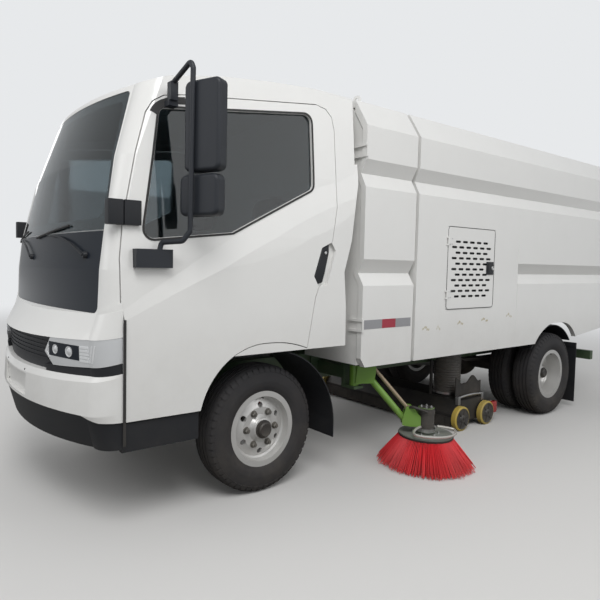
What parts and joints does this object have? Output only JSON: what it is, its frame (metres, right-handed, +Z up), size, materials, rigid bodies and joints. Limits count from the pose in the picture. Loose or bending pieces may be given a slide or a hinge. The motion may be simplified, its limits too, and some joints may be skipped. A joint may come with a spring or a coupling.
{
  "type": "street sweeper truck",
  "caption": "Compact road sweeper on a cab-over light truck: tilting cab, machine bay, tipping hopper, two side brushes on parallelogram arms and a wheeled suction nozzle.",
  "frame": {"origin": "on the floor under the middle of the overall length and width", "axes": "+Z up, front of the vehicle towards -Y, +X on the vehicle's left side"},
  "size_m": [2.83, 6.015, 2.475],
  "materials": {
    "white_paint": "gloss",
    "mask_black": "gloss",
    "trim_black": "satin",
    "screen_glass": "clear",
    "lamp_clear": "gloss",
    "lamp_red": "gloss",
    "seat_cloth": "matte",
    "chassis_paint": "satin",
    "axle_paint": "satin",
    "rim_paint": "satin",
    "tyre_rubber": "matte",
    "arm_green": "satin",
    "plate_grey": "satin",
    "bristle_red": "matte",
    "nozzle_steel": "satin",
    "wheel_yellow": "satin",
    "tank_black": "satin",
    "engine_grey": "satin"
  },
  "bodies": {
    "chassis": {"chassis_frame": "chassis_paint", "front_axle": "axle_paint", "rear_axle": "axle_paint", "drive_unit": "engine_grey", "fuel_tank": "tank_black", "mudguards": "trim_black", "rear_bar": "chassis_paint", "tail_lamps": "lamp_red", "brush_frame": "chassis_paint", "machine_bay": "white_paint", "sweeper_engine": "engine_grey"},
    "cab": {"cab_shell": "white_paint", "dashboard": "trim_black", "seats": "seat_cloth", "windscreen": "screen_glass", "front_panel": "mask_black", "nose_panel": "white_paint", "grille_band": "trim_black", "headlamps": "lamp_clear", "bumper": "white_paint", "bumper_valance": "trim_black"},
    "hopper": {"hopper": "white_paint"},
    "tailgate": {"tailgate": "white_paint"},
    "vent_hatch": {"vent_hatch": "white_paint"},
    "suction_nozzle": {"suction_nozzle": "nozzle_steel"},
    "door_left": {"door_left": "white_paint", "door_glass_left": "screen_glass", "mirror_left": "trim_black"},
    "bay_door_left": {"bay_door_left": "white_paint"},
    "knuckle_left": {"knuckle_left": "axle_paint"},
    "front_wheel_left": {"front_rim_left": "rim_paint", "front_tyre_left": "tyre_rubber"},
    "rear_wheels_left": {"rear_rims_left": "rim_paint", "rear_tyres_left": "tyre_rubber"},
    "brush_post_left": {"brush_post_left": "arm_green"},
    "brush_arm_left": {"brush_arm_left": "arm_green"},
    "brush_tie_rod_left": {"brush_tie_rod_left": "arm_green"},
    "brush_head_left": {"brush_head_left": "arm_green"},
    "brush_left": {"brush_plate_left": "plate_grey", "brush_bristles_left": "bristle_red"},
    "nozzle_wheel_front_left": {"nozzle_wheel_front_left": "wheel_yellow"},
    "nozzle_wheel_rear_left": {"nozzle_wheel_rear_left": "wheel_yellow"},
    "door_right": {"door_right": "white_paint", "door_glass_right": "screen_glass", "mirror_right": "trim_black"},
    "bay_door_right": {"bay_door_right": "white_paint"},
    "knuckle_right": {"knuckle_right": "axle_paint"},
    "front_wheel_right": {"front_rim_right": "rim_paint", "front_tyre_right": "tyre_rubber"},
    "rear_wheels_right": {"rear_rims_right": "rim_paint", "rear_tyres_right": "tyre_rubber"},
    "brush_post_right": {"brush_post_right": "arm_green"},
    "brush_arm_right": {"brush_arm_right": "arm_green"},
    "brush_tie_rod_right": {"brush_tie_rod_right": "arm_green"},
    "brush_head_right": {"brush_head_right": "arm_green"},
    "brush_right": {"brush_plate_right": "plate_grey", "brush_bristles_right": "bristle_red"},
    "nozzle_wheel_front_right": {"nozzle_wheel_front_right": "wheel_yellow"},
    "nozzle_wheel_rear_right": {"nozzle_wheel_rear_right": "wheel_yellow"}
  },
  "joints": [
    {"name": "cab_tilt", "type": "hinge", "parent": "chassis", "child": "cab", "pos_m": [0, -2.7975, 0.6], "axis": [1, 0, 0], "range_deg": [0, 45]},
    {"name": "hopper_tip", "type": "hinge", "parent": "chassis", "child": "hopper", "pos_m": [0, 2.5525, 0.82], "axis": [-1, 0, 0], "range_deg": [0, 45]},
    {"name": "tailgate_lift", "type": "hinge", "parent": "hopper", "child": "tailgate", "pos_m": [0, 2.9475, 2.44], "axis": [1, 0, 0], "range_deg": [0, 70]},
    {"name": "vent_hatch_swing", "type": "hinge", "parent": "hopper", "child": "vent_hatch", "pos_m": [0.967, -0.2055, 1.35], "axis": [0, 0, -1], "range_deg": [0, 110]},
    {"name": "nozzle_lift", "type": "slide", "parent": "chassis", "child": "suction_nozzle", "axis": [0, 0, 1], "range_m": [0, 0.08]},
    {"name": "door_left_swing", "type": "hinge", "parent": "cab", "child": "door_left", "pos_m": [0.948, -2.7035, 1.3], "axis": [0, 0, -1], "range_deg": [0, 70]},
    {"name": "bay_door_left_swing", "type": "hinge", "parent": "chassis", "child": "bay_door_left", "pos_m": [0.965, -1.0925, 1.55], "axis": [0, 0, -1], "range_deg": [0, 100]},
    {"name": "steer_left", "type": "hinge", "parent": "chassis", "child": "knuckle_left", "pos_m": [0.69, -1.7975, 0.38], "axis": [0, 0, 1], "range_deg": [-35, 35]},
    {"name": "front_wheel_left_spin", "type": "hinge", "parent": "knuckle_left", "child": "front_wheel_left", "pos_m": [0.77, -1.7975, 0.38], "axis": [1, 0, 0], "continuous": true},
    {"name": "rear_wheels_left_spin", "type": "hinge", "parent": "chassis", "child": "rear_wheels_left", "pos_m": [0.733, 1.5025, 0.38], "axis": [1, 0, 0], "continuous": true},
    {"name": "brush_swing_left", "type": "hinge", "parent": "chassis", "child": "brush_post_left", "pos_m": [0.74, -0.9175, 0.59], "axis": [0, 0, 1], "range_deg": [0, 38]},
    {"name": "arm_lift_left", "type": "hinge", "parent": "brush_post_left", "child": "brush_arm_left", "pos_m": [0.81722, -0.83916, 0.57], "axis": [0.7122, -0.702, 0], "range_deg": [0, 40]},
    {"name": "tie_rod_left", "type": "hinge", "parent": "brush_post_left", "child": "brush_tie_rod_left", "pos_m": [0.82845, -0.82777, 0.654], "axis": [0.7122, -0.702, 0], "range_deg": [0, 40]},
    {"name": "head_level_left", "type": "hinge", "parent": "brush_arm_left", "child": "brush_head_left", "pos_m": [0.98711, -0.66681, 0.292], "axis": [0.7122, -0.702, 0], "range_deg": [-40, 0]},
    {"name": "brush_spin_left", "type": "hinge", "parent": "brush_head_left", "child": "brush_left", "pos_m": [1.085, -0.5675, 0.21], "axis": [0, 0, 1], "continuous": true},
    {"name": "nozzle_wheel_front_left_spin", "type": "hinge", "parent": "suction_nozzle", "child": "nozzle_wheel_front_left", "pos_m": [0.782, 0.3165, 0.102], "axis": [1, 0, 0], "continuous": true},
    {"name": "nozzle_wheel_rear_left_spin", "type": "hinge", "parent": "suction_nozzle", "child": "nozzle_wheel_rear_left", "pos_m": [0.782, 0.6845, 0.102], "axis": [1, 0, 0], "continuous": true},
    {"name": "door_right_swing", "type": "hinge", "parent": "cab", "child": "door_right", "pos_m": [-0.948, -2.7035, 1.3], "axis": [0, 0, 1], "range_deg": [0, 70]},
    {"name": "bay_door_right_swing", "type": "hinge", "parent": "chassis", "child": "bay_door_right", "pos_m": [-0.965, -1.0925, 1.55], "axis": [0, 0, 1], "range_deg": [0, 100]},
    {"name": "steer_right", "type": "hinge", "parent": "chassis", "child": "knuckle_right", "pos_m": [-0.69, -1.7975, 0.38], "axis": [0, 0, 1], "range_deg": [-35, 35]},
    {"name": "front_wheel_right_spin", "type": "hinge", "parent": "knuckle_right", "child": "front_wheel_right", "pos_m": [-0.77, -1.7975, 0.38], "axis": [1, 0, 0], "continuous": true},
    {"name": "rear_wheels_right_spin", "type": "hinge", "parent": "chassis", "child": "rear_wheels_right", "pos_m": [-0.733, 1.5025, 0.38], "axis": [1, 0, 0], "continuous": true},
    {"name": "brush_swing_right", "type": "hinge", "parent": "chassis", "child": "brush_post_right", "pos_m": [-0.74, -0.9175, 0.59], "axis": [0, 0, -1], "range_deg": [0, 38]},
    {"name": "arm_lift_right", "type": "hinge", "parent": "brush_post_right", "child": "brush_arm_right", "pos_m": [-0.81722, -0.83916, 0.57], "axis": [0.7122, 0.702, 0], "range_deg": [0, 40]},
    {"name": "tie_rod_right", "type": "hinge", "parent": "brush_post_right", "child": "brush_tie_rod_right", "pos_m": [-0.82845, -0.82777, 0.654], "axis": [0.7122, 0.702, 0], "range_deg": [0, 40]},
    {"name": "head_level_right", "type": "hinge", "parent": "brush_arm_right", "child": "brush_head_right", "pos_m": [-0.98711, -0.66681, 0.292], "axis": [0.7122, 0.702, 0], "range_deg": [-40, 0]},
    {"name": "brush_spin_right", "type": "hinge", "parent": "brush_head_right", "child": "brush_right", "pos_m": [-1.085, -0.5675, 0.21], "axis": [0, 0, 1], "continuous": true},
    {"name": "nozzle_wheel_front_right_spin", "type": "hinge", "parent": "suction_nozzle", "child": "nozzle_wheel_front_right", "pos_m": [-0.782, 0.3165, 0.102], "axis": [1, 0, 0], "continuous": true},
    {"name": "nozzle_wheel_rear_right_spin", "type": "hinge", "parent": "suction_nozzle", "child": "nozzle_wheel_rear_right", "pos_m": [-0.782, 0.6845, 0.102], "axis": [1, 0, 0], "continuous": true}
  ],
  "couplings": [
    {"joint": "steer_right", "follows": "steer_left", "ratio": 1},
    {"joint": "tie_rod_left", "follows": "arm_lift_left", "ratio": 1},
    {"joint": "head_level_left", "follows": "arm_lift_left", "ratio": -1},
    {"joint": "tie_rod_right", "follows": "arm_lift_right", "ratio": 1},
    {"joint": "head_level_right", "follows": "arm_lift_right", "ratio": -1}
  ]
}
